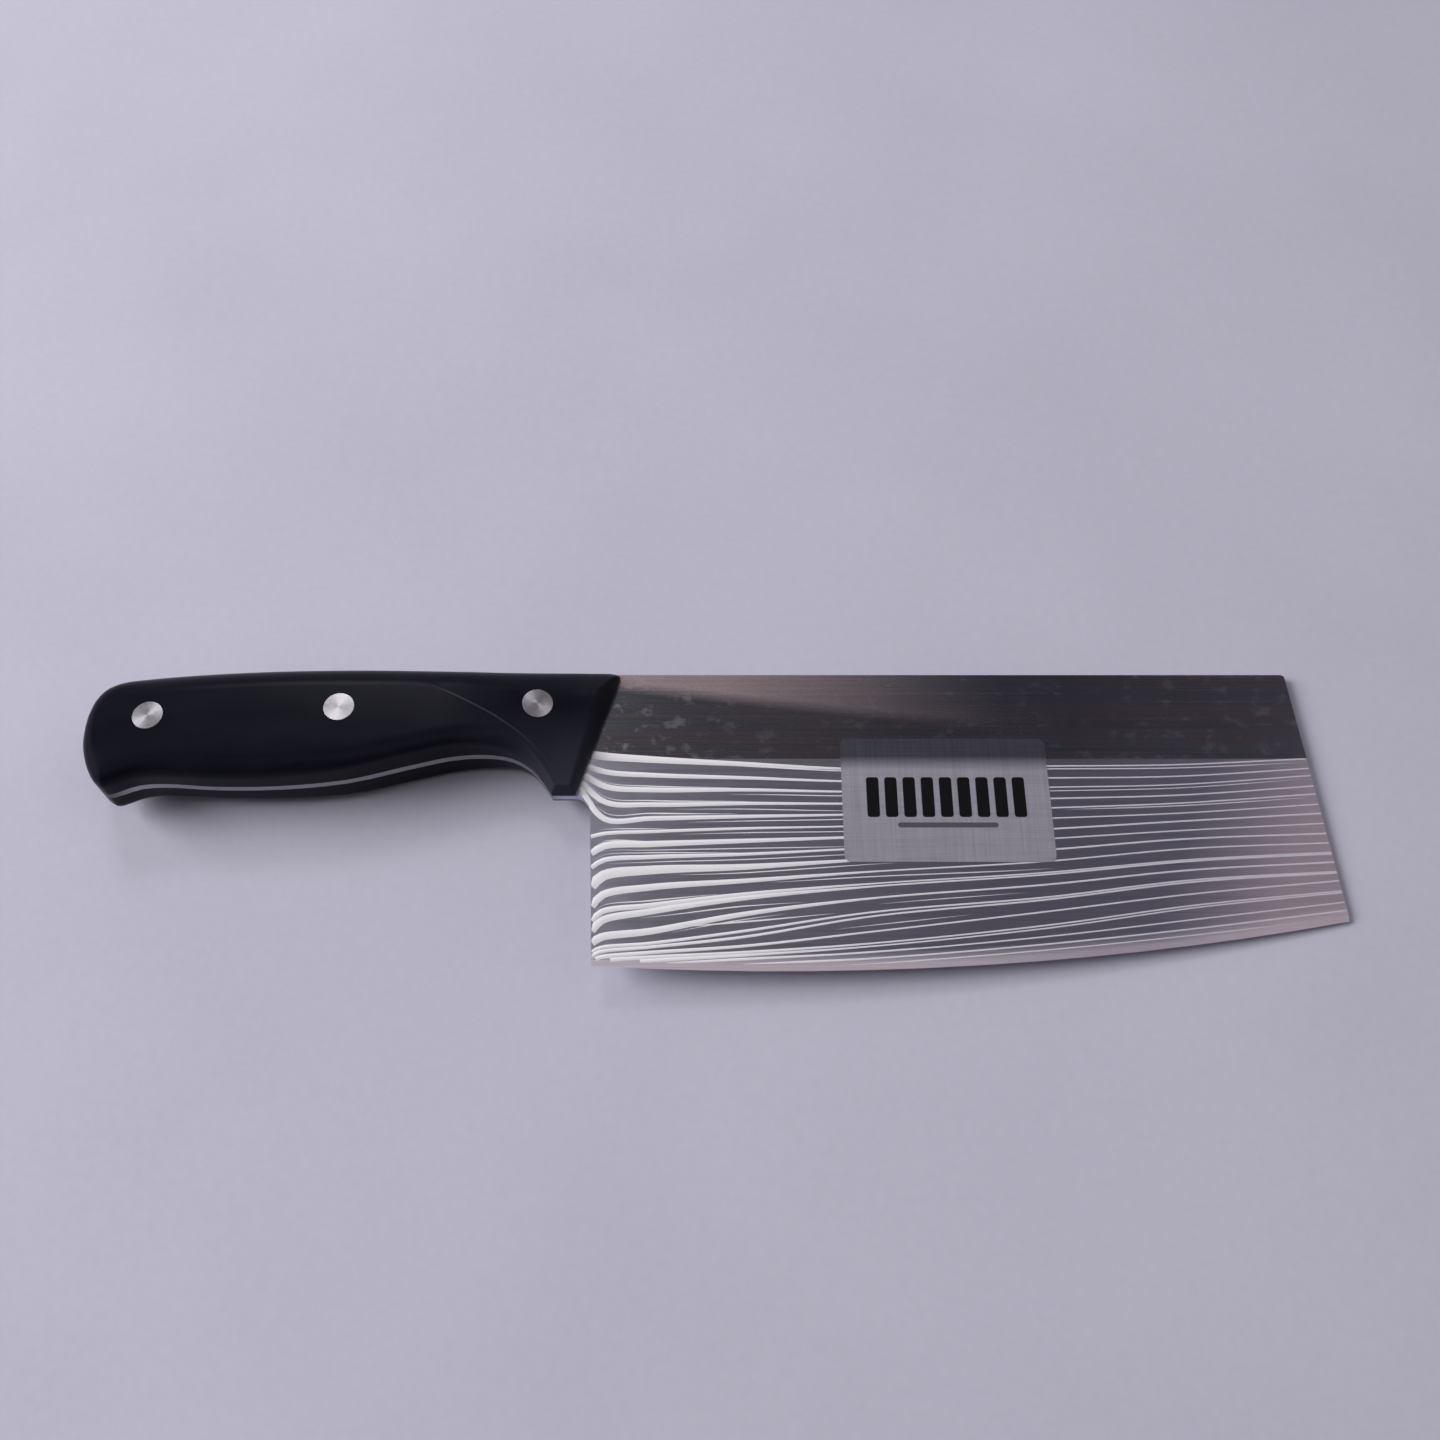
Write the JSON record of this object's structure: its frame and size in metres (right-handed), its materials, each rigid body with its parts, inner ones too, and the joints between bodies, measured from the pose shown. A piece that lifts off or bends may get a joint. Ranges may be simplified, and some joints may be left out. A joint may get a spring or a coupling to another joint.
{
  "type": "kitchen cleaver",
  "caption": "Rectangular kitchen cleaver with a full tang, a sculpted riveted handle, a gently curved edge, an etched wavy pattern and a blank foil label.",
  "frame": {"origin": "middle of the part's box on the plane it lies on, with the blade flat and half the handle's thickness above it", "axes": "+X along the spine towards the tip, +Y from the cutting edge to the spine, +Z out of the side with the label"},
  "size_m": [0.3002, 0.077, 0.0186],
  "materials": {
    "blade_steel": "brushed along the blade, with a bright etched wavy pattern below the grind line",
    "handle_plastic": "satin black moulded plastic",
    "rivet_steel": "turned faces",
    "label_foil": null
  },
  "bodies": {
    "root": {"blade": "blade_steel", "label_side_scale": "handle_plastic", "plain_side_scale": "handle_plastic", "butt_rivet_socket": "rivet_steel", "butt_rivet_pin": "rivet_steel", "middle_rivet_socket": "rivet_steel", "middle_rivet_pin": "rivet_steel", "guard_rivet_socket": "rivet_steel", "guard_rivet_pin": "rivet_steel", "label": "label_foil"}
  },
  "joints": []
}
